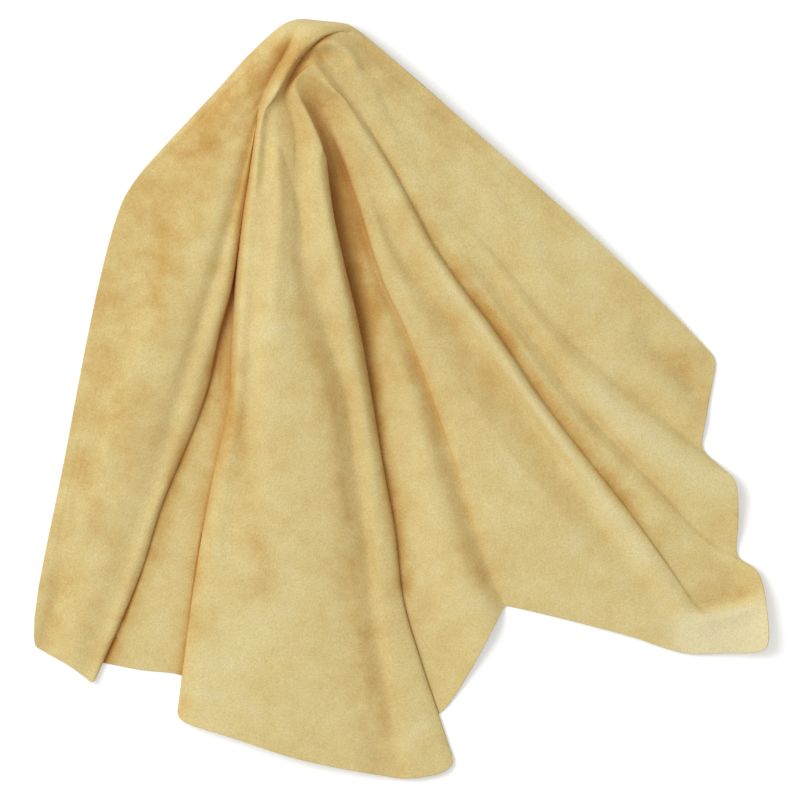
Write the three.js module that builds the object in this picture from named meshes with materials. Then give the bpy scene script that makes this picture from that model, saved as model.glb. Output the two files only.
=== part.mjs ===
// Chamois leather: one oil-tanned sheepskin split, pinched up below its top edge and laid on a table,
// where it fans out from the pinch in soft folds. Millimetres, +Z up. The origin is on the table, under
// the middle of the laid-out skin.
import * as THREE from 'three';

// Driving dimensions
const skinThickness = 1.2;
// How far the table flattens the underside where the skin lies on it
const pressDepth = 0.5;
// Slope at which the skin's upright thickness stops growing, as the upright part of its unit normal
const steepestNormal = 0.3;
// How strongly the fold lines crowd towards the hood's end of the groove, 1 being evenly spread
const rootCrowding = 1.3;
// Where the rows of facets lie on a fold line, as shares of its way from the neck of the pinch to its end
const rowShares = [0, 0.12, 0.28, 0.46, 0.64, 0.82, 1];

const chamoisColour = 0xdcc083;
const chamoisRoughness = 0.95;

// The pinch is a groove. It starts at the back of the hood and runs down into the middle lobe.
// Every point is x, y and the height of the skin's underside above the table.
const pinchGroove = [
  [-40, 293.5, 17], [-50, 293.5, 15], [-60, 290, 14], [-69, 283.5, 14], [-77.5, 274, 14],
  [-84.5, 263, 15], [-90, 253, 16], [-95, 243, 17], [-91, 233, 18.5], [-86, 222, 20],
  [-84, 205, 21], [-84, 185, 22],
];

// Fold lines left of the groove: over the back of the hood, round the left side and along the hem.
// Each one climbs out of the groove to the rim of the hood, drops to the neck of the pinch and runs out
// to the edge of the skin.
const leftFolds = {
  hoodEnd: [[-37, 294.5, 18], [-35, 294.5, 10], [-33, 294.5, 0]],
  hoodBack1: [[-44, 297.3, 21], [-43, 298.6, 12], [-42, 299.7, 0]],
  hoodBack2: [[-51, 297.6, 24], [-50.5, 299.6, 13], [-50, 301.2, 0]],
  hoodBack3: [[-58, 296, 28], [-58, 299.3, 16], [-58, 302, 0]],
  hoodBack4: [[-65, 293, 32], [-67, 298, 20], [-68, 303, 0]],
  hoodCrown: [[-71, 289.5, 35], [-75, 296.5, 25], [-77, 300.5, 15], [-79, 304, 0]],
  shoulder1: [[-76, 285.5, 36], [-81, 291.5, 27], [-85, 297, 17], [-89, 301.5, 0]],
  shoulder2: [[-80, 281.5, 37], [-86, 286.5, 27], [-92, 291.5, 19], [-98, 296, 0]],
  shoulder3: [[-84, 277, 37], [-90.5, 281, 26], [-99, 285, 19.5], [-108, 287, 0]],
  shoulder4: [[-87, 272.5, 37], [-94, 275.5, 25], [-107, 277, 19], [-123, 272.5, 0]],
  shoulder5: [[-90, 268, 36.5], [-97.5, 270, 24], [-115, 268, 18.5], [-143, 250, 0]],
  shoulder6: [[-92.5, 263.5, 36], [-100.5, 264.5, 22.5], [-122, 257, 18], [-150, 235, 8], [-168, 221, 0]],
  leftCorner: [[-95, 259, 35.5], [-103, 259.5, 21], [-127, 247, 17.5], [-165, 205, 9], [-214, 174, 0]],
  leftEdge1: [[-97.5, 254.5, 35], [-105.5, 254.5, 19.5], [-130, 238, 17], [-175, 178, 8], [-231, 132, 0]],
  leftEdge2: [[-99.5, 250.5, 34.5], [-107.5, 250, 18.5], [-132, 228, 17], [-185, 125, 8], [-250, 58, 0]],
  leftEdge3: [[-101.5, 246.5, 34], [-109.5, 246, 17.5], [-134, 216, 17.5], [-196, 60, 8], [-270, -48, 0]],
  leftHemCorner: [
    [-103.5, 242.5, 33.5], [-111, 242, 16.5], [-136, 200, 18], [-192, 48, 10], [-246, -80, 5], [-294, -190, 1],
  ],
  leftHemDip: [
    [-105, 238.5, 33], [-112, 238.5, 15.5], [-137, 188, 18.5], [-179, 64, 13], [-234, -64, 7], [-283, -200, 0],
  ],
  leftRidge: [
    [-106.5, 235, 32.5], [-113, 235, 15], [-136, 178, 20], [-168, 72, 18], [-214, -48, 13], [-269, -210, 9],
  ],
  leftDip: [
    [-107.2, 231.5, 32], [-113.5, 231.6, 14.3], [-133, 172, 18], [-158, 88, 14],
    [-187, 0, 11], [-228, -128, 6], [-257, -220, 5],
  ],
  leftCrest: [
    [-107.9, 228.3, 32], [-114.1, 228.6, 13.8], [-130.5, 168, 20], [-147, 88, 21],
    [-170, 8, 19], [-210, -104, 16], [-247, -226, 13],
  ],
  leftSide: [
    [-108.7, 225.3, 31.5], [-114.4, 225.8, 13.3], [-128, 165, 16], [-142, 84, 14],
    [-160, 2, 12], [-197, -100, 10], [-240, -213, 8],
  ],
  firstTuck: [
    [-109.5, 222.3, 31.3], [-114.5, 223, 13], [-126.3, 163, 9], [-139, 82, 3],
    [-157, 0, 1], [-193.5, -101, 0], [-237, -210, 0],
  ],
  firstFloor: [
    [-110.2, 219.4, 31], [-114.4, 220.2, 12.7], [-125, 161.5, 7.5], [-134.5, 80, 1],
    [-150, -12, 0], [-180, -104, 0], [-208, -215, 0],
  ],
  firstUndercut: [
    [-110.7, 216.5, 30.7], [-114.3, 217.6, 13], [-123.6, 160.5, 9], [-130.5, 79, 2],
    [-140, -12, 0], [-160, -112, 0], [-176, -221.5, 0],
  ],
  middleSide: [
    [-111, 213.5, 30.3], [-113.9, 213, 19], [-121.8, 160, 16], [-127.5, 78, 10],
    [-137, -13, 6.5], [-157, -113, 5], [-177.5, -250, 4],
  ],
  middleCrest: [
    [-109.8, 209, 29], [-112.5, 204, 28], [-118.5, 158, 26], [-123, 72, 22],
    [-133, -24, 14], [-148, -128, 11], [-169, -258, 10],
  ],
  middlePanel1: [
    [-107, 206.5, 27.5], [-109, 201, 26.8], [-114, 155, 26], [-117, 68, 23.5],
    [-123, -32, 16], [-133, -144, 12], [-154, -264, 10.5],
  ],
  middlePanel2: [
    [-103.5, 205, 26.5], [-104.5, 199, 26.5], [-108, 153, 26], [-109, 64, 24.5],
    [-109, -32, 17], [-112, -152, 12.5], [-131, -271, 11],
  ],
  middleRidge: [
    [-98, 203.5, 28], [-98, 196, 28], [-97, 146, 28.5], [-98, 60, 26.5],
    [-90, -40, 18.5], [-86, -160, 13.5], [-99, -281, 11.5],
  ],
  middlePanel3: [
    [-92.5, 199, 24.5], [-92.5, 191, 25], [-91, 143, 25.5], [-86, 62, 24.5],
    [-67, -36, 18], [-56, -160, 13], [-56, -294, 11],
  ],
  middleShoulder: [
    [-88.5, 192, 22.5], [-88.3, 184, 23], [-87.3, 142, 23.5], [-78, 62, 22],
    [-56, -38, 14.5], [-42, -160, 10], [-30, -298, 9],
  ],
};

// The groove itself opens into a long shallow dip down the middle lobe
const middleDip = [
  [-84.3, 176, 22], [-84.3, 168, 22.3], [-83.5, 140, 22.5], [-72, 62, 20.5],
  [-46, -40, 12.5], [-30, -160, 8.5], [-9, -300, 8],
];

// Fold lines right of the groove: along the hem, up the right side and back along the top edge
const rightFolds = {
  middleRightRidge: [
    [-80, 190, 26], [-75, 178, 29], [-66.5, 146, 30], [-50, 70, 29],
    [-29, -24, 22], [-13, -144, 16.5], [10, -302.5, 13.5],
  ],
  middleRightCrest: [
    [-78.3, 199, 28], [-70.5, 190, 31], [-61.5, 154, 32], [-42, 72, 31],
    [-23, -24, 25], [-7, -136, 19], [30, -298, 15],
  ],
  middleRightSide: [
    [-77.3, 206.5, 28.7], [-67.5, 198, 27], [-56.5, 158, 22], [-38, 68, 19],
    [-19, -30, 15], [-3, -126, 12], [15.5, -209, 9], [43, -288, 7],
  ],
  secondTuck: [
    [-77.8, 213, 29], [-63.5, 204, 18], [-53.5, 158, 6], [-35, 68, 2.5],
    [-16, -30, 0.5], [0, -127, 0], [18, -208, 0], [32, -252, 0],
  ],
  secondFloor: [
    [-79.2, 219, 29], [-62, 211, 16.5], [-48, 158, 4], [-29, 70, 1],
    [-11, -26, 0], [6, -128, 0], [36, -247, 0],
  ],
  secondSlope: [
    [-80.6, 225, 29], [-61, 217, 17], [-42, 156, 8], [-18, 58, 8],
    [3, -40, 6], [25, -144, 5], [52, -224, 4],
  ],
  secondCrest: [
    [-82, 231, 29], [-59.5, 222, 18.5], [-35, 152, 12], [-5, 48, 15],
    [24, -40, 14], [48, -120, 13], [71, -186, 11],
  ],
  thirdFloor: [
    [-83, 237, 29], [-57.5, 226, 20], [-30, 152, 11], [7, 52, 7],
    [37, -32, 4], [62, -118, 2], [82, -167, 0],
  ],
  thirdNotch: [
    [-83.6, 242.5, 29.3], [-55, 229, 21.5], [-26, 152, 12.5], [10, 54, 8.5],
    [42, -30, 5], [67, -117, 3], [86, -165, 1],
  ],
  thirdSlope: [
    [-83.3, 247.5, 29.7], [-52.5, 231, 23], [-21, 151, 15], [14, 59, 12],
    [56, -24, 9], [96, -112, 8], [140, -179, 5],
  ],
  thirdCrest: [
    [-82.2, 252.5, 30.3], [-50, 232, 25], [-15, 150, 18], [32, 54, 15],
    [84, -32, 13], [132, -108, 12], [200, -195, 8],
  ],
  fourthDip: [
    [-80.2, 257, 31.2], [-47, 232.5, 27.5], [-8, 149, 18.5], [20, 89, 12.5], [54, 45, 10],
    [104, -18, 8.5], [166, -102, 6.5], [227, -202, 3],
  ],
  longCrest: [
    [-77.5, 261.3, 32.3], [-43.5, 232.5, 30.5], [1, 151.5, 27], [27, 105, 25], [58, 62, 23],
    [119, -19, 19.5], [178, -94, 16], [227, -160, 10], [253, -201, 6],
  ],
  longSide: [
    [-74, 265.3, 32.5], [-40, 232, 27.5], [6, 154, 19], [64, 68, 15],
    [127, -16, 11], [188, -95, 8], [232, -158, 4.5], [269, -202, 6],
  ],
  fifthFloor: [
    [-72, 269.5, 27], [-36.5, 234, 24.5], [10.5, 157, 13], [68, 70, 3],
    [131, -13.5, 1], [193, -94, 0], [238, -156, 0], [285, -201, 9],
  ],
  cornerSlope: [
    [-71, 274.3, 28.5], [-33, 236.5, 26.5], [15, 160, 18], [78.5, 65, 7],
    [145, -24, 5], [199, -87, 4], [241, -133, 2], [263, -160, 1.5], [293, -197, 12],
  ],
  cornerRidge: [
    [-69.5, 277.8, 29.5], [-30, 239, 27.3], [19.5, 162, 20.5], [82.5, 67, 10],
    [150, -21, 8], [205, -84, 6.5], [247, -126, 3.5], [277, -151, 2.5], [293, -164, 9],
  ],
  cornerEdge: [
    [-68, 280, 30], [-28, 241, 27.3], [22.5, 163.5, 21.5], [86, 69, 10.5],
    [154, -18, 8], [210, -80, 6], [252, -120, 4], [286, -138, 4],
  ],
  sixthDip: [
    [-66, 281.7, 30], [-26, 243, 27.2], [25.5, 165, 22], [59, 108, 14.5], [91, 68, 9],
    [134, 10, 6], [177, -40, 4], [226, -89, 2.2], [269, -125, 1],
  ],
  rightLobeSlope: [
    [-63.5, 283.2, 30], [-24, 245.5, 27], [31, 167, 22.5], [65, 112, 17], [99, 67, 12.5],
    [147, 9, 10], [194, -41, 9.5], [236, -74, 8.5], [271, -98, 8],
  ],
  rightLobeCrest: [
    [-61, 284.5, 30], [-22, 248, 26.5], [36.5, 169, 22.3], [72, 115, 18], [108, 66, 15.5],
    [155, 13, 13], [201, -32, 12.5], [235, -54, 12], [268, -65, 11],
  ],
  rightLobeSide: [
    [-58.5, 285.5, 29.5], [-20.5, 250.5, 25.5], [41.5, 171, 21], [79, 120, 17], [117, 68, 12.5],
    [165, 18, 9.5], [206, -20, 7.5], [231, -39, 6], [255, -53, 5],
  ],
  seventhDip: [
    [-56, 286.3, 29], [-19, 253, 24.5], [46.5, 174, 19], [85, 124, 14.5], [125, 72, 9.5],
    [170, 27, 6.5], [208, -7, 3.8], [228, -25, 2.4], [242, -39, 1],
  ],
  rightEdge1: [
    [-53, 287, 28], [-18, 255.5, 23.5], [53, 178, 18.5], [93, 128, 16], [138, 79, 13],
    [180, 39, 10.5], [214, 9, 8], [245, -18, 4],
  ],
  rightEdge2: [
    [-50.5, 287.5, 26.5], [-17, 258, 22.5], [60, 182, 17], [104, 134, 14], [153, 85, 11],
    [196, 52, 7.5], [227, 22, 4.5], [248, -3, 2],
  ],
  rightCorner: [
    [-48, 288, 25], [-16.5, 260.5, 21], [66, 187, 15], [116, 138, 12], [168, 91, 9], [213, 53, 6.5], [251, 34, 0],
  ],
  topEdge1: [[-46, 288.6, 23.5], [-16.5, 263, 19.5], [70, 193, 12], [150, 126, 5], [224, 63, 0]],
  topEdge2: [[-44, 289.3, 22], [-17, 266, 18], [60, 203, 10.5], [118, 157, 4], [168, 118, 0]],
  topEdge3: [[-42, 290, 20.5], [-19, 269.5, 16], [38, 224, 9], [112, 169, 0]],
  topEdge4: [[-40, 291, 19], [-22.5, 278, 12.5], [10, 258, 0]],
  topEdge5: [[-38, 292.3, 18.3], [-28, 287, 11], [-18, 282, 0]],
};

const curveThrough = (points) =>
  new THREE.CatmullRomCurve3(points.map((point) => new THREE.Vector3(...point)), false, 'centripetal');

// The fold lines in order round the groove, counter-clockwise from above. Left and right lines stand in
// pairs on the groove's two walls, so both sides have the same number of gaps between lines.
const foldLines = [...Object.values(leftFolds), middleDip, ...Object.values(rightFolds)];
const lineCount = foldLines.length;
const lastRoot = lineCount / 2;
const rowCount = rowShares.length + 2;

// Number of the point where a fold line crosses a row: row 0 is the groove's floor and row 1 the rim
function placeNumber(row, line) {
  const wrapped = line % lineCount;
  if (row === 0) {
    return Math.min(wrapped, lineCount - wrapped);
  }
  return lastRoot + 1 + (row - 1) * lineCount + wrapped;
}

// Where the lines cross the rows. The table holds up what would dip below it.
function foldPlaces() {
  const groove = curveThrough(pinchGroove);
  const places = [];
  for (let root = 0; root <= lastRoot; root += 1) {
    places.push(groove.getPointAt((root / lastRoot) ** rootCrowding));
  }
  for (const [rim] of foldLines) {
    places.push(new THREE.Vector3(...rim));
  }
  const runs = foldLines.map(([, ...run]) => curveThrough(run));
  for (const share of rowShares) {
    places.push(...runs.map((run) => run.getPointAt(share)));
  }
  for (const place of places) {
    place.z = Math.max(place.z, 0);
  }
  return places;
}

// Twice the area of a triangle as seen from above
const planArea = (a, b, c) => (b.x - a.x) * (c.y - a.y) - (b.y - a.y) * (c.x - a.x);

// The skin's underside as triangles between neighbouring lines and rows. Each four-sided patch is cut
// along the diagonal that leaves its smaller half larger from above.
function foldTriangles(places) {
  const triangles = [];
  const smallerHalf = (halves) =>
    Math.min(...halves.map((half) => planArea(...half.map((number) => places[number]))));
  for (let row = 0; row + 1 < rowCount; row += 1) {
    for (let line = 0; line < lineCount; line += 1) {
      const inner = placeNumber(row, line);
      const outer = placeNumber(row + 1, line);
      const outerNext = placeNumber(row + 1, line + 1);
      const innerNext = placeNumber(row, line + 1);
      const outwards = [[inner, outer, outerNext], [inner, outerNext, innerNext]];
      const across = [[inner, outer, innerNext], [outer, outerNext, innerNext]];
      triangles.push(...(smallerHalf(outwards) > smallerHalf(across) ? outwards : across).flat());
    }
  }
  return triangles;
}

// Gives the sheet its thickness, lays its underside flat on the table and closes the cut edge
function skinGeometry() {
  const places = foldPlaces();
  const triangles = foldTriangles(places);
  const sheet = new THREE.BufferGeometry().setFromPoints(places).setIndex(triangles);
  sheet.computeVertexNormals();
  const normals = sheet.attributes.normal;
  const count = places.length;
  const lower = places.map(({ x, y, z }) => new THREE.Vector3(x, y, Math.max(z - pressDepth, 0)));
  const upper = places.map(({ x, y, z }, number) => {
    const upright = skinThickness / Math.max(normals.getZ(number), steepestNormal);
    return new THREE.Vector3(x, y, z - pressDepth + upright);
  });
  const faces = [];
  for (let i = 0; i < triangles.length; i += 3) {
    const [a, b, c] = triangles.slice(i, i + 3);
    faces.push(a, b, c, a + count, c + count, b + count);
  }
  for (let line = 0; line < lineCount; line += 1) {
    const here = placeNumber(rowCount - 1, line);
    const next = placeNumber(rowCount - 1, line + 1);
    faces.push(here, here + count, next, next, here + count, next + count);
  }
  const skin = new THREE.BufferGeometry().setFromPoints([...upper, ...lower]).setIndex(faces);
  skin.computeBoundingBox();
  const middle = skin.boundingBox.getCenter(new THREE.Vector3());
  skin.translate(-middle.x, -middle.y, 0);
  skin.computeVertexNormals();
  return skin;
}

const chamois = new THREE.MeshStandardMaterial({
  color: chamoisColour,
  roughness: chamoisRoughness,
  metalness: 0,
});
const skin = new THREE.Mesh(skinGeometry(), chamois);
skin.name = 'chamois_skin';

const chamoisLeather = new THREE.Group();
chamoisLeather.add(skin);

export default chamoisLeather;
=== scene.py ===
import math

import bpy
import numpy as np
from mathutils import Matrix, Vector, noise
from mathutils.bvhtree import BVHTree


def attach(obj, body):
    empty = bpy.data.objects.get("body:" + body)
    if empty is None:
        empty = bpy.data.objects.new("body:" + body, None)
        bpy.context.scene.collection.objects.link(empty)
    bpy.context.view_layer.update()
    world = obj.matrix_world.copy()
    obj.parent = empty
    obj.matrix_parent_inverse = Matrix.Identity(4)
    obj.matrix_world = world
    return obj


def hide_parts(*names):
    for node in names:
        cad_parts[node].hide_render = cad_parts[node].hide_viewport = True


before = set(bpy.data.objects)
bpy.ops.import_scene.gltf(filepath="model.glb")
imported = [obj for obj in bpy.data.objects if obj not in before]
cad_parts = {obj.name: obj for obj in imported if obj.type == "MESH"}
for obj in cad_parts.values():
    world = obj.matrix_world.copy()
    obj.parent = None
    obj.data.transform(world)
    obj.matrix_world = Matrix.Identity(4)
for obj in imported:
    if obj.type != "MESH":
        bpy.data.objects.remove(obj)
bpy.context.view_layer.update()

# The hide in millimetres: its size, how finely it is drawn, and how it lies
hide = {
    "thickness": 1.2,
    "edge": 0.7,                 # the cut edge rounds over this width
    "flat": (0.62, 0.66),        # metres, the rectangle round the hide when it is laid out flat
    "flatArea": 0.285,           # square metres
    "shift": (0.5, -0.75),       # the drawing's origin in the CAD frame
    "crowding": 1.3,             # fold lines crowd towards the hood's end of the groove
    "rimRows": 12,               # rows of mesh from groove to rim, from rim to neck and on to the hem
    "neckRows": 24,
    "runRows": 116,
    "between": 5,                # columns of mesh for each fold line
    "rollClimb": 1.7,            # the roll's wall is steep at its foot and eases off
    "legFrom": 0.55,             # share of the groove where the right wall starts to steepen
    "legOver": 0.2,
    "rightDrop": 1.6,            # the right side drops from its rim at once, the roll's side late
    "runCrowding": 1.15,         # rows lie closer at the neck than at the hem
    "softenPasses": 3,
    "softenBy": 0.5,
    "softenEdgeBy": 0.2,         # the cut edge keeps its corners
    "tableBend": 0.35,           # height over which the skin eases on to the table
}

# The pinch: a groove from the back of the hood down into the middle lobe, as x, y and height
pinchGroove = [
    (-40, 293.5, 19), (-50, 293.5, 24), (-60, 290, 28), (-69, 283.5, 29.5), (-77.5, 274, 29.5),
    (-84.5, 263, 28), (-89, 253, 26.5), (-92, 243, 25), (-88.5, 233, 24.5), (-84.5, 222, 24.6),
    (-83, 205, 25.3), (-84, 185, 25.3),
]

# Fold lines round the groove, counter-clockwise from above: rim of the hood, neck of the pinch, then the
# run to the cut edge. A tuck lies under the fold edge before it.
foldLines = {
    "hoodEnd": [(-37, 294.5, 18), (-35, 294.5, 15.5), (-33, 294.5, 12)],
    "hoodBack1": [(-44, 297.3, 21), (-43, 298.6, 16), (-42, 299.7, 10)],
    "hoodBack2": [(-51, 297.6, 24), (-50.5, 299.6, 18), (-50, 301.2, 9)],
    "hoodBack3": [(-58, 296, 28), (-58, 299.3, 20), (-58, 302, 8)],
    "hoodBack4": [(-65, 293.5, 32), (-67, 299, 23), (-68, 303, 8)],
    "hoodCrown": [(-68, 288.8, 34.5), (-77, 298.5, 25), (-78, 301, 19), (-79, 304, 9)],
    "shoulder1": [(-72.5, 285.5, 36), (-82, 293.5, 28), (-86, 298, 22), (-89, 301.5, 11)],
    "shoulder2": [(-76.3, 281, 37), (-85.8, 287.2, 27.4), (-92, 291, 26.5), (-98, 296, 12)],
    "shoulder3": [
        (-79.8, 276.8, 37), (-89.3, 281, 26.6), (-97, 284.5, 26.5), (-103, 286, 22), (-108, 287, 13),
    ],
    "shoulder4": [
        (-82.8, 272.3, 37), (-92.4, 275, 26), (-102, 278, 26.5), (-112, 276.5, 22), (-123, 272.5, 12.5),
    ],
    "shoulder5": [
        (-85.8, 267.7, 36.6), (-95.4, 269.8, 25.6), (-106, 271, 26), (-122, 265, 20.5), (-143, 250, 11),
    ],
    "shoulder6": [
        (-88.7, 263, 36), (-98.2, 264.4, 25.2), (-109, 264, 25.5), (-132, 251, 19), (-166, 219, 13),
        (-200, 189.5, 8),
    ],
    "leftCorner": [
        (-91.2, 258.4, 35.5), (-101.2, 259.2, 24.8), (-112, 257, 25), (-139, 240, 18.5),
        (-176, 204, 11.5), (-212.6, 174, 7),
    ],
    "leftEdge1": [
        (-93.5, 253.9, 35), (-103.6, 254.3, 24.6), (-115, 251, 24.6), (-146, 229, 18.5), (-188, 187, 11),
        (-223, 156, 6),
    ],
    "leftEdge2": [
        (-95.6, 249.9, 34.3), (-105.6, 249.8, 24.3), (-117, 245.5, 24.2), (-148, 218, 18.8),
        (-196, 145, 10.6), (-241, 92, 4.5),
    ],
    "leftEdge3": [
        (-97.6, 246, 33.6), (-107.5, 245.6, 24.4), (-118.5, 239.5, 24), (-149, 206, 19), (-208, 82, 9.6),
        (-268.2, -48, 2.5),
    ],
    "leftHemCorner": [
        (-99.8, 242.2, 33), (-109.2, 241.6, 23.8), (-119, 234, 24), (-148, 196, 19.4), (-200, 80, 12),
        (-250, -70, 6), (-293, -194.5, 2),
    ],
    "leftHemDip": [
        (-102, 238.4, 32.3), (-110.7, 238, 23.6), (-118.6, 229, 23.6), (-145, 187, 20), (-189, 80, 14.5),
        (-240, -64, 8), (-285, -201, 1),
    ],
    "leftRidge": [
        (-104.4, 235, 31.6), (-111.9, 234.8, 24), (-117.8, 222.5, 24), (-125, 204, 22.8),
        (-137, 170, 21.2), (-154, 112, 18.2), (-170, 60, 14.6), (-204, -40, 9.4), (-236, -120, 7),
        (-265, -212, 6),
    ],
    "leftDip": [
        (-107.2, 231.5, 31), (-112.7, 231.5, 23.8), (-117, 214, 22.8), (-121, 198, 21), (-129, 165, 18.3),
        (-142.5, 116, 14.6), (-159.5, 60, 10.4), (-177, 1, 7), (-194.5, -60, 5.3), (-214, -115, 4.6),
        (-232, -168, 4.2), (-251, -222.5, 4),
    ],
    "leftCrest": [
        (-107.9, 228.3, 30.4), (-113.4, 228.5, 23.5), (-116.6, 209, 22.6), (-119.8, 195, 21.3),
        (-126, 164, 19.2), (-134.5, 122, 16.8), (-141, 88, 14.4), (-150, 54, 11.6), (-162, 12, 8.4),
        (-175, -32, 6.6), (-198, -94, 5.6), (-215.5, -144, 5.4), (-246, -226, 5.6),
    ],
    "leftSide": [
        (-108.7, 225.3, 30), (-113.9, 225.7, 23), (-118.2, 197, 20), (-123.2, 160, 16.6),
        (-129.6, 120, 13.4), (-135, 88, 10.4), (-144, 56, 6.8), (-155.5, 4, 3.4), (-167.5, -28, 2.6),
        (-189.5, -80, 2.3), (-206.5, -135, 2.2), (-228, -187, 2.2), (-241, -214, 2.2),
    ],
    "firstTuck": [
        (-109.5, 222.3, 29.5), (-114.2, 222.9, 22.3), (-119.2, 195.5, 17.8), (-125, 158, 13),
        (-132, 119, 8.5), (-139, 88, 5), (-149, 54, 2.8), (-159.5, -1, 1.6), (-171.5, -29, 1.4),
        (-194, -81, 1.2), (-211, -136, 1), (-232, -189, 1), (-244, -210, 1),
    ],
    "firstFloor": [
        (-110.2, 219.4, 29.2), (-114.4, 220.1, 22), (-119.3, 192.5, 17), (-125.5, 156, 11.8),
        (-130.8, 117, 7), (-135.3, 86, 4), (-141, 52, 2.2), (-151, -6, 1.2), (-160, -40, 1),
        (-180, -100, 1), (-193, -158, 1), (-208, -216, 1),
    ],
    "firstUndercut": [
        (-110.7, 216.5, 28.9), (-114.6, 217.3, 22.2), (-119.3, 190, 17.6), (-125.6, 153, 12.5),
        (-130.6, 115, 8), (-132.6, 85, 5), (-135, 50, 3), (-138, -8, 1.6), (-146, -44, 1.2),
        (-156.5, -104, 1), (-163.5, -160, 1), (-169, -223, 1),
    ],
    "middleSide": [
        (-111, 213.5, 28.7), (-114.7, 212.8, 24.5), (-118.4, 186, 21), (-124.6, 148, 17),
        (-130, 92, 12.5), (-133.5, 48, 9), (-137, -10, 6.4), (-145.5, -46, 5), (-157.5, -106, 4.2),
        (-166, -158, 4), (-177.8, -250, 4),
    ],
    "middleCrest": [
        (-109.8, 209, 28.4), (-112.5, 204, 27.8), (-115, 182, 26.8), (-120.5, 144, 24.8),
        (-124.8, 90, 21.4), (-128, 42, 17.6), (-131.5, -12, 14.2), (-139, -48, 12), (-150.5, -108, 9.8),
        (-159.5, -158, 8.6), (-172.5, -257.5, 7),
    ],
    "middlePanel1": [
        (-107, 206.5, 28), (-109, 201, 27.4), (-114, 155, 26), (-117.5, 68, 21), (-120.5, 16, 16),
        (-123.5, -32, 12.8), (-130, -84, 11.2), (-138, -144, 10.2), (-154, -264, 9.5),
    ],
    "middlePanel2": [
        (-103.5, 205, 27.8), (-104.5, 199, 27.4), (-108, 153, 26.3), (-109, 64, 24.5), (-109, -32, 18),
        (-114, -152, 12.5), (-131, -271, 11),
    ],
    "middleRidge": [
        (-98, 203.5, 28), (-98, 196, 28), (-97.5, 146, 28), (-98, 60, 26), (-90, -40, 19),
        (-84, -160, 13), (-82, -287, 11),
    ],
    "middlePanel3": [
        (-92.8, 197, 26.4), (-92.8, 189, 26.8), (-90, 142, 27), (-86.5, 104, 26), (-79, 62, 23.6),
        (-60, 0, 19), (-55, -40, 16.4), (-50, -80, 14.2), (-44.5, -120, 12.4), (-42, -160, 11),
        (-36, -200, 10), (-30.5, -240, 9.4), (-28, -298, 9),
    ],
    "middleShoulder": [
        (-89.8, 187.5, 25.8), (-89, 180, 25.7), (-82.5, 142, 25), (-77.5, 104, 23.2), (-69, 62, 19.8),
        (-49.5, 0, 14.2), (-45, -40, 11.6), (-40.5, -80, 9.8), (-34.5, -120, 8.4), (-31.5, -160, 7.3),
        (-25.5, -200, 6.8), (-19.5, -240, 6.5), (-14, -300.2, 6.4),
    ],
    "middleDip": [
        (-85.5, 178.5, 25.3), (-83.6, 171, 24.9), (-76, 142, 24), (-69, 104, 21.2), (-59.5, 62, 16.8),
        (-41, 0, 10.6), (-36.5, -40, 8.2), (-31.5, -80, 6.6), (-26, -120, 5.5), (-22.5, -160, 4.8),
        (-16.5, -200, 4.5), (-10.5, -240, 4.5), (-2, -302.5, 4.6),
    ],
    "middleRightRidge": [
        (-71, 184, 27), (-69.5, 172, 28.2), (-63, 146, 28), (-47.5, 70, 22), (-27, -24, 12.4),
        (-17.5, -112, 8.4), (-13, -160, 7.2), (-1, -240, 6.4), (14, -302, 6.2),
    ],
    "middleRightCrest": [
        (-65.5, 191.5, 30), (-63.5, 180, 30), (-58.5, 154, 29), (-48, 106, 25), (-37.5, 64, 19),
        (-25.5, 0, 11.6), (-17.6, -46, 8.4), (-6, -112, 6.2), (-1, -157, 5.2), (13, -209, 4.8),
        (36, -297, 4.8),
    ],
    "middleRightSide": [
        (-62, 199, 30), (-58.6, 191, 26.5), (-56.5, 172, 23.6), (-53, 147, 20.8), (-44, 106, 16.2),
        (-34, 64, 11.4), (-22.5, 0, 6.2), (-15, -46, 4.2), (-3.3, -112, 2.9), (1.6, -157, 2.5),
        (16.5, -209, 2.4), (30, -249, 2.3), (43, -288, 2.3),
    ],
    "secondTuck": [
        (-63.5, 206, 29.8), (-61.5, 199, 18), (-60.5, 172, 10.5), (-58, 146, 8), (-50, 105, 5.5),
        (-41.5, 62, 3.5), (-31, -1, 2), (-22, -47, 1.6), (-9.6, -113, 1.4), (-4, -158, 1.2),
        (11.5, -210, 1.1), (23.5, -246, 1), (27, -256, 1),
    ],
    "secondFloor": [
        (-66.5, 213, 29.5), (-61.8, 208, 18), (-53.5, 174, 12.5), (-47, 146, 10.5), (-37, 104, 7.5),
        (-27.5, 62, 4.5), (-17, -1, 2), (-9, -47, 1.4), (4, -113, 1), (10, -158, 1), (24, -210, 1),
        (37, -246, 1),
    ],
    "secondSlope": [
        (-69.5, 220, 29.3), (-63, 215.5, 17.5), (-51.5, 178, 13), (-42.8, 144, 11), (-30, 100, 8.7),
        (-15.5, 54, 7.6), (3, -20, 6.5), (11.5, -70, 6), (27, -144, 5), (53, -222, 4),
    ],
    "secondCrest": [
        (-72.8, 227, 29.2), (-63.5, 222, 18), (-49.2, 182.5, 13.5), (-39, 146, 11.2), (-24, 98, 9.4),
        (-3.5, 47, 9.2), (13, -3, 9.4), (25, -44, 9.6), (38, -94, 9.6), (50.5, -125, 9.3), (64, -158, 9),
        (75, -182, 9),
    ],
    "thirdFloor": [
        (-76.5, 234, 29.2), (-64, 228.5, 18), (-45.4, 187.8, 12.8), (-32.5, 148.4, 10.2),
        (-23.5, 119.6, 9), (-14.8, 94.3, 8), (6.4, 49.3, 6.2), (21.2, 11.6, 4.8), (34.2, -25.2, 3.7),
        (46.1, -60.3, 3.1), (56.6, -95.3, 2.6), (66, -122.3, 2), (76.5, -150.2, 1.4), (84, -165, 1),
    ],
    "thirdNotch": [
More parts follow.
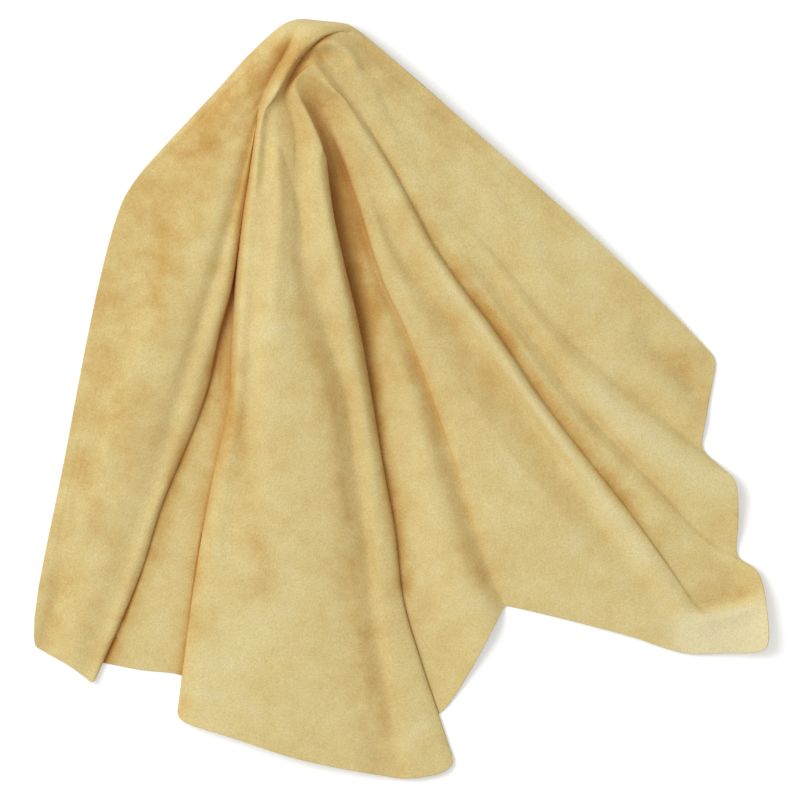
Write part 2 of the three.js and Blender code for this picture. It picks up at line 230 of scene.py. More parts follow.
        (-80.3, 241, 29.4), (-62, 232.5, 19.2), (-43.5, 188.5, 17.2), (-30.5, 149, 14.8),
        (-21.5, 120, 13.4), (-12.8, 95, 12.3), (8.5, 50, 10.4), (23.5, 12, 8.6), (36.5, -25, 7),
        (48.5, -60, 5.8), (59, -95, 4.8), (68.5, -122, 3.7), (79, -150, 2), (86, -164.8, 1),
    ],
    "thirdSlope": [
        (-82.8, 248, 30), (-59, 236, 21.4), (-40, 189.5, 20.2), (-26.5, 149.8, 17.4),
        (-17.5, 121.7, 15.6), (-8.8, 98.2, 14.2), (4.5, 72.2, 13), (19, 49, 12.6), (38, 25, 12.2),
        (61, -7, 11.4), (89, -47, 10), (122, -87, 8.4), (141, -112, 7.3), (163, -141, 5.8),
        (188, -190, 4),
    ],
    "thirdCrest": [
        (-82, 254.5, 30.8), (-55.5, 238.5, 22.6), (-35.5, 190.5, 22.4), (-22, 150.6, 19),
        (-13, 124.2, 17), (-3.5, 104.2, 15.6), (12, 75, 14), (28, 52, 12.2), (45.5, 28, 10.6),
        (68, -4, 9.6), (96, -44, 8.4), (129, -84, 7), (148, -109, 6), (171, -139, 4.8),
        (206, -196.5, 4.2),
    ],
    "fourthDip": [
        (-78.5, 260.5, 31.8), (-51.5, 240, 25.6), (-28.5, 191.5, 23.4), (-15, 151.5, 18), (-7, 131, 14.8),
        (3.5, 114, 12), (14.5, 99, 10.2), (35.5, 74, 8), (57, 46, 6.4), (77.5, 20, 5.5),
        (100.5, -10, 4.8), (132, -55, 4), (161, -98, 3.4), (188, -135, 3.2), (209, -165, 3.3),
        (230, -203, 3.4),
    ],
    "longCrest": [
        (-73.5, 264.5, 32.3), (-46, 241, 30.4), (-17.5, 193.6, 27.6), (4, 153, 25.4), (20, 121.4, 23.2),
        (35, 98, 21.4), (70, 50, 18.4), (103.5, 0, 15.8), (142, -52, 12.8), (170.5, -90.5, 10.8),
        (206, -139, 8.2), (225, -166, 6.6), (252, -202.5, 5.5),
    ],
    "longSide": [
        (-69, 266.8, 31.7), (-41.5, 238.5, 28.4), (-13.7, 194.7, 25.6), (8.8, 154.2, 23.4),
        (25.3, 122.8, 21), (41, 99.3, 19.2), (76.5, 51.8, 16), (110.5, 1.3, 13.4), (150, -49.8, 11),
        (180, -87.3, 9.3), (216, -137, 6.8), (232, -162, 5.2), (267.5, -202.3, 6.5),
    ],
    "fifthFloor": [
        (-67.5, 270.5, 30.4), (-37.5, 239, 27.2), (-12.2, 196, 22.4), (10.2, 156, 19.8),
        (26.8, 124.3, 17), (42.7, 100.8, 15.2), (78.3, 53.2, 11), (112.2, 2.8, 9.2), (151.8, -48.3, 7.8),
        (181.8, -86, 6.8), (217.5, -136, 4.2), (237, -162, 3), (282, -202, 10),
    ],
    "cornerSlope": [
        (-67.5, 274.6, 30), (-33.5, 240, 27.2), (-7, 194, 23), (16, 154.5, 20.3), (34, 123, 17.4),
        (51, 97, 15), (84.5, 50, 11.6), (119, 1, 10), (158.5, -45, 8.4), (189, -82, 7), (231, -130, 3.8),
        (262, -160, 2.4), (293, -198, 14),
    ],
    "cornerRidge": [
        (-67.5, 278.6, 29.3), (-30.5, 241.5, 27.3), (-3, 195, 23.8), (21, 156, 21.2), (41, 124, 18.6),
        (59, 98, 16.2), (92.5, 50, 13), (126.5, 2, 11.3), (166.5, -42, 9.4), (199, -77.5, 7.4),
        (241, -122, 3.8), (277, -154, 2.6), (293.5, -172, 12),
    ],
    "cornerEdge": [
        (-66.5, 281, 30), (-28, 242.8, 27.3), (-1.7, 196, 23.8), (22.7, 157.3, 21.1), (43.9, 126.2, 18.3),
        (62.4, 100.5, 15.4), (99, 50, 11), (133.5, 2, 9), (173, -41, 7), (206, -75, 5.4),
        (246, -116, 3.6), (266, -129, 3.5), (286, -136.5, 6.5),
    ],
    "sixthDip": [
        (-66, 281.7, 30), (-26, 243, 27.2), (-0.4, 197, 23.8), (24.4, 158.5, 21), (46.8, 128.3, 18),
        (66, 103, 14.6), (105, 50, 9.6), (140, 2, 6.8), (179, -40, 4.6), (214, -76, 3), (241, -105, 1.8),
        (270, -126, 1.2),
    ],
    "rightLobeSlope": [
        (-63.5, 283.2, 30), (-24, 245.5, 27), (0.9, 198, 23.7), (26.1, 159.8, 21), (49.7, 130.5, 18),
        (69.8, 105.8, 15.2), (101, 63, 12), (144, 7, 10), (192, -44, 9), (235, -75, 8.5), (270.5, -98, 8),
    ],
    "rightLobeCrest": [
        (-61, 284.5, 30), (-22, 248, 26.5), (2.2, 198.9, 23.6), (27.8, 161.1, 20.9), (52.6, 132.7, 18.2),
        (73.5, 108.6, 16.2), (107.5, 64, 14.4), (153, 12, 13), (200, -34, 12), (234, -55, 11.5),
        (268, -65, 11),
    ],
    "rightLobeSide": [
        (-58.5, 285.5, 29.5), (-20.5, 250.5, 25.5), (3.5, 199.9, 23.4), (29.5, 162.4, 20.7),
        (55.5, 134.8, 17.8), (77, 111.2, 15.6), (114, 65.5, 12.6), (161, 18, 10), (201, -17, 8.6),
        (230, -38, 6.5), (255.5, -53, 5),
    ],
    "seventhDip": [
        (-56, 286.3, 29), (-19, 253, 24.5), (5, 201, 23), (31.5, 163.8, 20.2), (58.5, 137, 17),
        (80.5, 113.8, 14.4), (120, 67, 10.6), (164, 24, 7), (207, -9, 3.4), (225.5, -26, 2.6),
        (242, -39.5, 1.2),
    ],
    "rightEdge1": [
        (-53, 287, 28), (-18, 255.5, 23.5), (30, 195, 20.8), (57, 163, 18.5), (88, 127, 16.3),
        (135, 77, 13.5), (178, 37, 11), (213, 7, 8), (244, -19, 4),
    ],
    "rightEdge2": [
        (-50.5, 287.5, 26.5), (-17, 258, 23.5), (36, 199, 20.6), (64, 169, 18.8), (98, 133.5, 16.2),
        (147, 87, 12), (190, 52, 8.4), (224, 29, 4.5), (249.5, 12, 2),
    ],
    "rightCorner": [
        (-48, 288, 25.5), (-16.5, 260.5, 22.8), (41, 203, 19.5), (72, 174, 17.6), (110, 139, 15),
        (162, 93, 11), (210, 55, 6.5), (252, 32, 1.5),
    ],
    "topEdge1": [
        (-46, 288.6, 24.5), (-16.5, 263, 22.2), (46, 207, 18.8), (80, 178, 16.8), (122, 141, 14),
        (173, 101, 10), (242.6, 44, 3),
    ],
    "topEdge2": [
        (-44, 289.3, 23.2), (-17, 266, 21.4), (43, 215, 18.2), (84, 180, 15.8), (126, 147, 13),
        (168, 118, 10),
    ],
    "topEdge3": [(-42, 290, 22), (-19, 269.5, 20.6), (36, 226, 17.4), (112, 169, 13)],
    "topEdge4": [(-40, 291, 20.5), (-22.5, 278, 19), (10, 258, 17)],
    "topEdge5": [(-38, 292.3, 19.5), (-28, 287, 18), (-18, 282, 16.5)],
}

# Small folds laid over the long ones: points of the line, height and half width in millimetres
smallFolds = {
    "behindRoll": ([(-80.4, 297), (-91, 277), (-101, 259), (-111, 237), (-116, 216)], -1.4, 2.6),
    "besideRoll": ([(-102.4, 240), (-104, 232), (-105.6, 216), (-107.2, 192), (-110.4, 164)], -2.2, 3.2),
    "besideArch": ([(-88, 246), (-82, 230), (-79, 216), (-79, 182), (-79, 148), (-79, 110),
                    (-74, 80)], -2.4, 4),
    "archLeg": ([(-81, 252), (-77, 234), (-71.5, 215), (-67, 196), (-63, 170)], 1.4, 4),
    "hoodArc": ([(-71, 278), (-63, 282.6), (-53.6, 284.2), (-45, 280), (-38, 272), (-31, 262)], 3.4, 3),
    "archRidge": ([(-84, 258), (-79, 265), (-69, 267), (-61.5, 258.5), (-50.5, 239), (-38, 216),
                   (-24, 192)], 2.6, 3.6),
    "underArc": ([(-68, 272.5), (-58, 275), (-50, 272.5), (-45, 265)], -1.6, 5),
    "thinRidge": ([(-100, 230), (-98.4, 200), (-96, 152), (-100, 80), (-96, 40)], 1.3, 4),
    "hemCrease1": ([(-69.6, -265.6), (-59.2, -279.2), (-50.4, -296)], -1.6, 2.2),
    "hemCrease2": ([(-59.2, -272), (-52.8, -285.6), (-46, -297)], -1.1, 2),
    "bandBorder": ([(-44.8, -100), (-43.2, -152.8), (-39.2, -204), (-32.8, -244.8), (-20.8, -275.2),
                    (-12, -300)], -1.3, 5),
    "flapValley": ([(230, -161), (240, -164.5), (251, -164.5), (271, -158), (290, -149)], -3, 3),
    "flapRidge": ([(234, -172), (249, -174.5), (272, -168), (292, -158)], 4, 5),
    "cornerBand": ([(186, 64), (212, 36), (232, 12), (246, -10)], -2.6, 6),
    "leftHemValley": ([(-269.6, -115), (-276, -160.8), (-284, -200)], -1.6, 4.5),
}


def curveThrough(points, knots, stations):
    # smooth curve through the points, which sit at the knots; slopes come from the neighbours
    points, knots = np.asarray(points, float), np.asarray(knots, float)
    step = np.diff(knots)
    chord = np.diff(points, axis=0) / step[:, None]
    slope = np.empty_like(points)
    slope[0], slope[-1] = chord[0], chord[-1]
    before, after = step[:-1, None], step[1:, None]
    slope[1:-1] = (chord[:-1] * after + chord[1:] * before) / (before + after)
    i = np.clip(np.searchsorted(knots, stations, side="right") - 1, 0, len(step) - 1)
    h = step[i][:, None]
    t = ((stations - knots[i]) / step[i])[:, None]
    return (
        (2 * t**3 - 3 * t**2 + 1) * points[i] + (t**3 - 2 * t**2 + t) * h * slope[i]
        + (3 * t**2 - 2 * t**3) * points[i + 1] + (t**3 - t**2) * h * slope[i + 1]
    )


def lengthsAlong(points):
    return np.concatenate([[0], np.cumsum(np.linalg.norm(np.diff(points, axis=0), axis=1))])


def ringThrough(ring, between):
    # closed curve through a ring of points, with between steps from each point to the next; the square
    # roots keep it from looping where points crowd
    n = len(ring)
    wrapped = np.concatenate([ring[-3:], ring, ring[:4]])
    gaps = np.maximum(np.linalg.norm(np.diff(wrapped, axis=0), axis=1), 1e-4) ** 0.5
    knots = np.concatenate([[0], np.cumsum(gaps)])
    steps = np.arange(between) / between
    stations = np.concatenate([knots[3 + i] + steps * gaps[3 + i] for i in range(n)])
    return curveThrough(wrapped, knots, stations)


def layHide():
    lines = [np.array(line, float) for line in foldLines.values()]
    between = hide["between"]
    count = len(lines) * between
    half = count // 2

    groove = np.array(pinchGroove, float)
    along = lengthsAlong(groove)
    places = np.minimum(np.arange(count), count - np.arange(count)) / half
    root = curveThrough(groove, along, along[-1] * places ** hide["crowding"])
    rim = ringThrough(np.array([line[0] for line in lines]), between)
    neck = ringThrough(np.array([line[1] for line in lines]), between)

    rows = []
    for s in np.linspace(0, 1, hide["rimRows"], endpoint=False):
        row = root + (rim - root) * s
        leg = np.clip((places - hide["legFrom"]) / hide["legOver"], 0, 1)
        right = (1 - leg) * (3 * s**2 - 2 * s**3) + leg * (1 - (1 - s) ** 2)
        climb = np.where(np.arange(count) < half, 1 - (1 - s) ** hide["rollClimb"], right)
        row[:, 2] = root[:, 2] + (rim[:, 2] - root[:, 2]) * climb
        rows.append(row)
    for s in np.linspace(0, 1, hide["neckRows"], endpoint=False):
        row = rim + (neck - rim) * s
        drop = np.where(np.arange(count) < half, s**2, 1 - (1 - s) ** hide["rightDrop"])
        row[:, 2] = rim[:, 2] + (neck[:, 2] - rim[:, 2]) * drop
        rows.append(row)
    shares = np.linspace(0, 1, hide["runRows"]) ** hide["runCrowding"]
    runs = []
    for line in lines:
        lengths = lengthsAlong(line[1:])
        runs.append(curveThrough(line[1:], lengths, lengths[-1] * shares))
    for ring in np.array(runs).transpose(1, 0, 2):
        rows.append(ringThrough(ring, between))
    return np.array(rows)


def soften(grid):
    # each point moves towards the middle of its neighbours
    for _ in range(hide["softenPasses"]):
        around = (np.roll(grid, 1, 1) + np.roll(grid, -1, 1))[1:-1] + grid[:-2] + grid[2:]
        grid[1:-1] += hide["softenBy"] * (around / 4 - grid[1:-1])
        edge = grid[-1]
        grid[-1] += hide["softenEdgeBy"] * ((np.roll(edge, 1, 0) + np.roll(edge, -1, 0)) / 2 - edge)
    return grid


def layOnTable(grid):
    # the table holds up what would dip below it, without a sharp bend
    lowest, bend = hide["thickness"] / 2, hide["tableBend"]
    over = (grid[..., 2] - lowest) / bend
    grid[..., 2] = lowest + bend * np.logaddexp(0, over)
    return grid


# A hide is never quite flat: slow swells and finer puckers, in millimetres
uneven = {
    "height": 0.7,
    "swell": 38,
    "pucker": 17,
    "puckerShare": 0.5,
    "heightShare": 0.6,          # the pattern changes with height, so the layers of a fold differ
    "fullFrom": 6,               # the table presses what lies lower
    "seed": 110.0,
}


def unevenHide(grid):
    for row in grid:
        for point in row:
            place = Vector((point[0], point[1], uneven["heightShare"] * point[2] + uneven["seed"]))
            swell = noise.noise(place / uneven["swell"])
            swell += uneven["puckerShare"] * noise.noise(place / uneven["pucker"])
            point[2] += uneven["height"] * swell * min(1, point[2] / uneven["fullFrom"])
    return grid


def awayFrom(places, points, steps=60):
    # distance of each place from a curve seen from above, and the nearest share of its length
    points = np.array(points, float)
    along = lengthsAlong(points)
    line = curveThrough(points, along, np.linspace(0, along[-1], steps))
    away, share = np.full(places.shape[:-1], 1e9), np.zeros(places.shape[:-1])
    for step, place in enumerate(line):
        near = np.hypot(places[..., 0] - place[0], places[..., 1] - place[1])
        closer = near < away
        away[closer], share[closer] = near[closer], step / (steps - 1)
    return away, share


def addSmallFolds(grid, fadeShare=0.2, pastEnd=0.05):
    # each one fades in over the first fifth of its line and out over the last
    for points, height, halfWidth in smallFolds.values():
        away, share = awayFrom(grid, points)
        fade = np.clip(np.minimum(share, 1 + pastEnd - share) / fadeShare, 0, 1)
        grid[..., 2] += height * fade * np.exp(-0.5 * (away / halfWidth) ** 2)
    return grid


def makeSkin():
    grid = addSmallFolds(soften(layHide()))
    grid = layOnTable(unevenHide(grid))
    grid[..., :2] += hide["shift"]
    # one more row just inside the hem, so that the skin stays flat up to its rounded edge
    inward = grid[-2] - grid[-1]
    inward *= hide["edge"] / np.linalg.norm(inward, axis=1, keepdims=True)
    grid = np.concatenate([grid[:-1], [grid[-1] + inward], grid[-1:]])
    rowCount, count, _ = grid.shape
    half = count // 2
    # the groove's two walls share the points of its floor
    points = np.concatenate([grid[0, : half + 1], grid[1:].reshape(-1, 3)]) / 1000

    def number(row, column):
        column %= count
        return min(column, count - column) if row == 0 else half + 1 + (row - 1) * count + column

    faces = []
    for row in range(rowCount - 1):
        for column in range(count):
            faces.append((
                number(row, column), number(row + 1, column),
                number(row + 1, column + 1), number(row, column + 1),
            ))
    mesh = bpy.data.meshes.new("chamois_hide")
    mesh.from_pydata(points.tolist(), [], faces)
    mesh.validate()
    mesh.shade_smooth()
    piece = bpy.data.objects.new("chamois_hide", mesh)
    bpy.context.scene.collection.objects.link(piece)
    wall = piece.modifiers.new("hide thickness", "SOLIDIFY")
    wall.thickness, wall.offset = hide["thickness"] / 1000, 0
    print("hide laid out:", len(points), "points,", len(faces), "faces")
    return piece


def linear(hexColour):
    parts = [int(hexColour[i : i + 2], 16) / 255 for i in (1, 3, 5)]
    return [p / 12.92 if p <= 0.04045 else ((p + 0.055) / 1.055) ** 2.4 for p in parts] + [1]


def addNode(tree, kind, settings=None, **inputs):
    node = tree.nodes.new(kind)
    for key, value in (settings or {}).items():
        setattr(node, key, value)
    for key, value in inputs.items():
        socket = node.inputs[int(key[1:])] if key[1:].isdigit() else node.inputs[key.replace("_", " ")]
        if isinstance(value, bpy.types.NodeSocket):
            tree.links.new(value, socket)
        else:
            socket.default_value = value
    return node


# How open each point of the skin is to the room, from 0 deep in a fold to 1 on a crest; the material paints
# shade from it, browner and darker where a point is less open
openings = {"rays": 40, "reach": 0.06}      # reach in metres


def markOpenness(piece):
    rays = openings["rays"]
    mesh = piece.data
    tree = BVHTree.FromObject(piece, bpy.context.evaluated_depsgraph_get())
    turn = math.pi * (3 - math.sqrt(5))
    fan = []
    for i in range(rays):
        up = (i + 0.5) / rays
        out = math.sqrt(1 - up * up)
        fan.append(Vector((out * math.cos(i * turn), out * math.sin(i * turn), up)))
    openness = np.empty(len(mesh.vertices))
    for vertex in mesh.vertices:
        turned = vertex.normal.to_track_quat("Z", "X")
        start = vertex.co + vertex.normal * hide["thickness"] / 1000
        hits = sum(tree.ray_cast(start, turned @ ray, openings["reach"])[0] is not None for ray in fan)
        openness[vertex.index] = 1 - hits / rays
    mesh.attributes.new("openness", "FLOAT", "POINT").data.foreach_set("value", openness)
    print("openness marked: mean", round(openness.mean(), 3))


# Streaks of tan and brown, or paler where the strength is below 0: points of the line and half width in
# millimetres, then the strength. A few are stains of the hide; most are painted shade along the valleys and
# fold edges, and some of the paler ones are painted light.
stainAndPaintedShadeStreaks = {
    # tan over the shoulder: partly stain of the hide, partly painted shade along the valley left of the
    # roll
    "shoulder": ([(-100, 276), (-120, 258), (-134, 244), (-148, 224), (-160, 200)], 11, 0.5),
    "shoulderLow": ([(-164, 192), (-172, 160), (-184, 120), (-192, 80)], 11, 0.3),
    "shoulderWide": ([(-110, 275), (-150, 225), (-185, 165), (-200, 110)], 26, 0.2),
    # painted shade beside the valley to the left of the roll
    "besideLine": ([(-122, 218), (-123, 186), (-131, 142)], 4, 0.3),
    # stains of the hide on the left hand side
    "leftHand": ([(-216, 60), (-228, 20), (-236, -20), (-250, -60)], 24, 0.3),
    "leftHem": ([(-258, -100), (-268, -150), (-276, -190)], 18, 0.3),
    "leftEdge": ([(-212, 166), (-232, 120), (-244, 80), (-254, 40)], 16, 0.3),
    # painted shade in the groove, in the bowl of the arch and under the arc of the hood
    "rollShade": ([(-92, 254), (-86, 265), (-78, 275), (-70, 283), (-60, 289)], 5, 0.5),
    "bowl": ([(-70, 256), (-62, 244), (-54, 232)], 12, 0.2),
    "arc": ([(-92, 270), (-70, 277), (-40, 274)], 10, 0.1),
    # painted shade along the middle lobe's left foot and in its dips
    "middleEdge": ([(-131, 40), (-133, 10), (-135, -12), (-142, -38), (-149.5, -64), (-155.5, -96),
                    (-159.5, -120), (-164, -158), (-168, -190), (-172.5, -225), (-176, -250)], 5.5, 0.36),
    "middleFoot": ([(-127, 20), (-129, -24), (-134, -52)], 8, 0.12),
    "slantDip": ([(-131, -16), (-125.5, -40), (-120, -80), (-113.5, -112), (-109, -152)], 6, 0.35),
    "band": ([(-78.5, 72), (-67, 40), (-53.5, 0), (-49.5, -40), (-43, -80), (-36, -120), (-33.5, -160),
              (-27, -200), (-21, -240), (-15, -280)], 9, 0.34),
    # painted shade on the valley floors beside the fold edges and in the dips
    "valleyBrown": ([(-51, 188), (-46, 160), (-37.5, 128), (-28, 98), (-20, 74)], 6.5, 0.7),
    "valleyEdge": ([(-41, 104), (-31, 64), (-23, 18), (-16, -24), (-8, -72), (-1, -112),
                    (4, -150)], 5, 0.75),
    "leftValley": ([(-149, 30), (-156.5, 0), (-167, -24), (-182, -68), (-194, -106), (-207, -146),
                    (-222, -181), (-232, -206)], 5, 0.55),
    "thirdEdge": ([(-4, 56), (9.5, 32), (22.5, 0), (32, -40), (45.5, -80), (56, -120),
                   (65.5, -152)], 6, 0.3),
    "fourthDip": ([(44, 58), (70, 24), (92, -8), (119, -48), (148, -88), (172, -120)], 7, 0.2),
    "longFold": ([(9.5, 156), (37, 116), (62.5, 80), (93, 40), (120, 0), (152, -40), (180, -76)], 6, 0.4),
    "sixthDip": ([(60, 116), (108, 48), (146, -2), (182, -42)], 8, 0.1),
    # darker tan over the top right and at the right hem
    "topRight": ([(-22, 270), (18, 238), (58, 206)], 14, 0.25),
    "rightHem": ([(222, 24), (238, 0)], 11, 0.4),
    # painted light: the floor of the left valley made paler
    "firstFloor": ([(-146, -10), (-170, -90), (-188, -150), (-204, -208)], 13, -0.15),
    # paler patches on the middle lobe's hem and on the right lobe
    "middlePale": ([(-150, -216), (-112, -190), (-86, -178)], 14, -0.15),
    "middleLow": ([(-140, -250), (-70, -262)], 24, -0.1),
    "rightLobe": ([(160, 14), (210, -34), (245, -66)], 16, -0.3),
    # painted shade in the dips beside the right lobe and the long crest
    "seventhDip": ([(172, 14), (188, 0), (204, -12), (224, -27)], 6, 0.3),
    "longValley": ([(44, 100), (79, 55), (101, 23), (123, -9), (152, -49), (184, -88),
                    (207, -121)], 3.5, 0.5),
    # painted highlight along the long crest
    "longCrest": ([(40, 90), (64, 56), (86, 24), (108, -8), (137, -48), (163, -88),
                   (192, -128)], 9, -0.35),
    # painted shade in the valley above the flap
    "aboveFlap": ([(244, -154), (262, -153), (282, -143)], 7, 0.3),
    # painted light on the raised flap
    "flap": ([(240, -190), (262, -186), (288, -182)], 14, -1.5),
}


def markStainsAndPaintedShade(piece):
    mesh = piece.data
    places = np.empty(len(mesh.vertices) * 3)
    mesh.vertices.foreach_get("co", places)
    places = places.reshape(-1, 3)[:, :2] * 1000 - hide["shift"]
    tone = np.zeros(len(places))
    for points, halfWidth, strength in stainAndPaintedShadeStreaks.values():
        away, _ = awayFrom(places, points)
        tone += strength * np.exp(-0.5 * (away / halfWidth) ** 2)
    mesh.attributes.new("stainAndPaintedShade", "FLOAT", "POINT").data.foreach_set("value", tone)
    print("streaks marked:", len(stainAndPaintedShadeStreaks))


suede = {
    "pale": "#e9dbab",           # palest nap, where the tone is lowest; the paler streaks and crests reach towards it as painted light
    "straw": "#dfca8b",
    "tan": "#cda660",            # stains, and painted shade in the shallower folds
    "brown": "#ba8a45",          # painted shade in the folds, and the darkest stains
    "paintedShade": "#b9782c",           # painted shade, mixed in deep in the folds
    "bloom": "#f2e6c2",          # hairs lit from the side
    "strawAt": 0.3,              # places of straw and tan between pale at 0 and brown at 1
    "tanAt": 0.67,
    "toneRange": (-0.48, 1.92),  # summed tones that come out pale and brown
    "patterns": {                # size in millimetres, detail and roughness
        "drift": (130, 3.0, 0.5),
        "mottle": (22, 5.0, 0.62),
        "tuft": (5, 3.0, 0.5),
        "nap": (1.35, 2.0, 0.5),     # real nap is finer, but wouldn't show
    },
    "driftWeight": -0.7,
    "mottleWeight": 1.35,
    "streakBreak": (0.7, 1.3),   # the mottle breaks up the streaks
    "dip": (-0.1, 0.4),          # painted light and shade: tone from a crest, a little paler, to a place that is 0.6 open, darker
    "dipOpen": (1.0, 0.6),
    "paintedShadeOpen": (0.15, 0.78),    # all painted shade below the first openness, none above the second
    "napShade": (0.89, 1.085),
    "noiseSpan": (0.3, 0.7),     # where nearly all of a noise lies
    "tuftWeight": 0.8,
    "bump": 0.5,
    "pileHeight": 0.6,           # millimetres
    "roughness": 0.95,
    "gloss": 0.2,
    "sheen": 0.2,
    "sheenRoughness": 0.5,
}


# Chamois: oil-tanned sheepskin, split and buffed to a nap on both sides. Matt, with a soft pale bloom at
# grazing angles, and never one even colour.
def chamoisMaterial():
    material = bpy.data.materials.new("chamois, oil-tanned and buffed")
    material.use_nodes = True
    tree = material.node_tree
    shader = tree.nodes["Principled BSDF"]
    place = addNode(tree, "ShaderNodeTexCoord").outputs["Object"]
    openness = addNode(tree, "ShaderNodeAttribute", {"attribute_name": "openness"}).outputs["Fac"]
    stainAndPaintedShade = addNode(tree, "ShaderNodeAttribute", {"attribute_name": "stainAndPaintedShade"}).outputs["Fac"]
    pattern = {}
    for name, (size, detail, roughness) in suede["patterns"].items():
        made = addNode(tree, "ShaderNodeTexNoise", Vector=place, Scale=1000 / size, Detail=detail,
                       Roughness=roughness)
        pattern[name] = made.outputs["Fac"]
    low, high = suede["noiseSpan"]

    # tone: streaks of stain and of painted light and shade, the painted shade of the dips, drift and mottle
    # added up
    weakest, strongest = suede["streakBreak"]
    broken = addNode(tree, "ShaderNodeMapRange", Value=pattern["mottle"], From_Min=low, From_Max=high,
                     To_Min=weakest, To_Max=strongest).outputs[0]
    # painted shade in the dips and a little painted light on the crests, from openness
    crestOpen, dipOpen = suede["dipOpen"]
    crestTone, dipTone = suede["dip"]
    dip = addNode(tree, "ShaderNodeMapRange", Value=openness, From_Min=crestOpen, From_Max=dipOpen,
                  To_Min=crestTone, To_Max=dipTone).outputs[0]
    tone = addNode(tree, "ShaderNodeMath", {"operation": "MULTIPLY_ADD"}, _0=stainAndPaintedShade, _1=broken, _2=dip)
    for name in ("drift", "mottle"):
        tone = addNode(tree, "ShaderNodeMath", {"operation": "MULTIPLY_ADD"}, _0=pattern[name],
                       _1=suede[name + "Weight"], _2=tone.outputs[0])
    palest, brownest = suede["toneRange"]
    tone = addNode(tree, "ShaderNodeMapRange", Value=tone.outputs[0], From_Min=palest, From_Max=brownest)
    ramp = addNode(tree, "ShaderNodeValToRGB", Fac=tone.outputs[0])
    ramp.color_ramp.elements[0].color = linear(suede["pale"])
    ramp.color_ramp.elements[1].color = linear(suede["brown"])
    ramp.color_ramp.elements.new(suede["strawAt"]).color = linear(suede["straw"])
    ramp.color_ramp.elements.new(suede["tanAt"]).color = linear(suede["tan"])

    # painted shade: the fold colour mixed in where a point is little open, then light and dark hairs of the
    # nap
    allShaded, noneShaded = suede["paintedShadeOpen"]
    paintedShadeShare = addNode(tree, "ShaderNodeMapRange", {"interpolation_type": "SMOOTHSTEP"}, Value=openness,
                         From_Min=allShaded, From_Max=noneShaded, To_Min=1.0, To_Max=0.0).outputs[0]
    withPaintedShade = addNode(tree, "ShaderNodeMix", {"data_type": "RGBA"}, _0=paintedShadeShare,
                     _6=ramp.outputs["Color"], _7=linear(suede["paintedShade"])).outputs[2]
    darkest, lightest = suede["napShade"]
    napShade = addNode(tree, "ShaderNodeMapRange", Value=pattern["nap"], From_Min=low, From_Max=high,
                       To_Min=darkest, To_Max=lightest).outputs[0]
    colour = addNode(tree, "ShaderNodeVectorMath", {"operation": "SCALE"}, _0=withPaintedShade, Scale=napShade)
    tree.links.new(colour.outputs[0], shader.inputs["Base Color"])

    pile = addNode(tree, "ShaderNodeMath", {"operation": "MULTIPLY_ADD"}, _0=pattern["tuft"],
                   _1=suede["tuftWeight"], _2=pattern["nap"]).outputs[0]
    bump = addNode(tree, "ShaderNodeBump", Strength=suede["bump"], Distance=suede["pileHeight"] / 1000,
                   Height=pile)
    tree.links.new(bump.outputs[0], shader.inputs["Normal"])
    shader.inputs["Roughness"].default_value = suede["roughness"]
    shader.inputs["Specular IOR Level"].default_value = suede["gloss"]
    shader.inputs["Sheen Weight"].default_value = suede["sheen"]
    shader.inputs["Sheen Roughness"].default_value = suede["sheenRoughness"]
    shader.inputs["Sheen Tint"].default_value = linear(suede["bloom"])
    print("chamois material made:", len(tree.nodes), "nodes")
    return material


# Straight down through a long lens, in metres apart from the lens and its sensor; width is what it takes in
view = {"lens": 400, "sensor": 36, "width": 0.64, "clip": 100}
camera = bpy.data.objects.new("camera", bpy.data.cameras.new("camera"))
camera.data.lens, camera.data.sensor_width = view["lens"], view["sensor"]
camera.data.clip_end = view["clip"]
cameraHeight = view["width"] * view["lens"] / view["sensor"]
camera.location = (hide["shift"][0] / 1000, hide["shift"][1] / 1000, cameraHeight)
bpy.context.scene.collection.objects.link(camera)
bpy.context.scene.camera = camera
print("camera set", round(cameraHeight, 2), "m above the table")

skinPiece = makeSkin()
markOpenness(skinPiece)
markStainsAndPaintedShade(skinPiece)
skinPiece.data.materials.append(chamoisMaterial())
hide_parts("chamois_skin")
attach(skinPiece, "root")

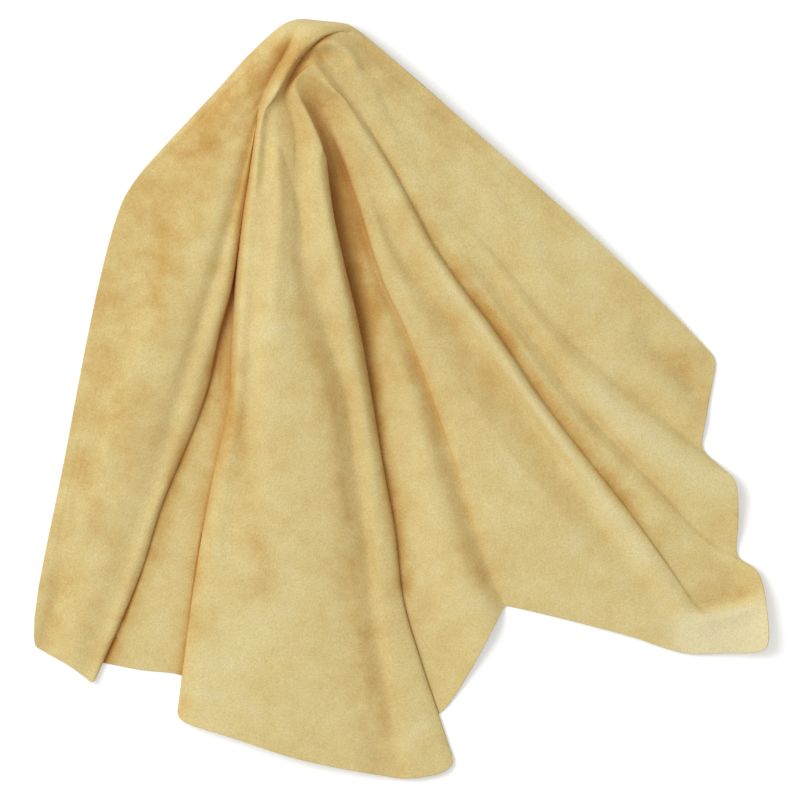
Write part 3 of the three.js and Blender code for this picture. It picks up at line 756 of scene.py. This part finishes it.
# A white room and one large soft lamp on the upper left: watts and metres
light = {"ambient": 0.53, "key": 305, "size": 4.0, "place": (-4.4, 2.0, 5.2)}
world = bpy.data.worlds.new("studio")
bpy.context.scene.world = world
world.use_nodes = True
room = world.node_tree.nodes["Background"]
room.inputs["Strength"].default_value = light["ambient"]
room.inputs["Color"].default_value = (1, 1, 1, 1)
key = bpy.data.objects.new("key", bpy.data.lights.new("key", "AREA"))
key.data.energy, key.data.size = light["key"], light["size"]
key.location = light["place"]
key.rotation_euler = (-Vector(light["place"])).to_track_quat("-Z", "Y").to_euler()
bpy.context.scene.collection.objects.link(key)
print("light set")

# Only the camera and reflections see the table's glow, so it whitens the table and doesn't light the hide
table = {"reach": 6, "colour": "#f4f4f2", "roughness": 0.9, "glow": 0.3}
reach = table["reach"]
floorMesh = bpy.data.meshes.new("table")
corners = [(-reach, -reach, 0), (reach, -reach, 0), (reach, reach, 0), (-reach, reach, 0)]
floorMesh.from_pydata(corners, [], [(0, 1, 2, 3)])
floor = bpy.data.objects.new("table", floorMesh)
bpy.context.scene.collection.objects.link(floor)

# Melamine board, pressed to a matt finish: even and white, with no reflections
white = bpy.data.materials.new("white melamine, pressed matt")
white.use_nodes = True
tree = white.node_tree
surface = tree.nodes["Principled BSDF"]
surface.inputs["Base Color"].default_value = linear(table["colour"])
surface.inputs["Roughness"].default_value = table["roughness"]
rays = addNode(tree, "ShaderNodeLightPath").outputs
seen = rays["Is Camera Ray"]
for kind in ("Is Glossy Ray", "Is Transmission Ray"):
    seen = addNode(tree, "ShaderNodeMath", {"operation": "MAXIMUM"}, _0=seen, _1=rays[kind]).outputs[0]
lift = addNode(tree, "ShaderNodeMath", {"operation": "MULTIPLY"}, _0=seen, _1=table["glow"])
glow = addNode(tree, "ShaderNodeEmission", Strength=lift.outputs[0])
both = addNode(tree, "ShaderNodeAddShader", _0=surface.outputs[0], _1=glow.outputs[0])
tree.links.new(both.outputs[0], tree.nodes["Material Output"].inputs["Surface"])
floorMesh.materials.append(white)
print("table laid")

bpy.context.scene.view_settings.view_transform = "Standard"
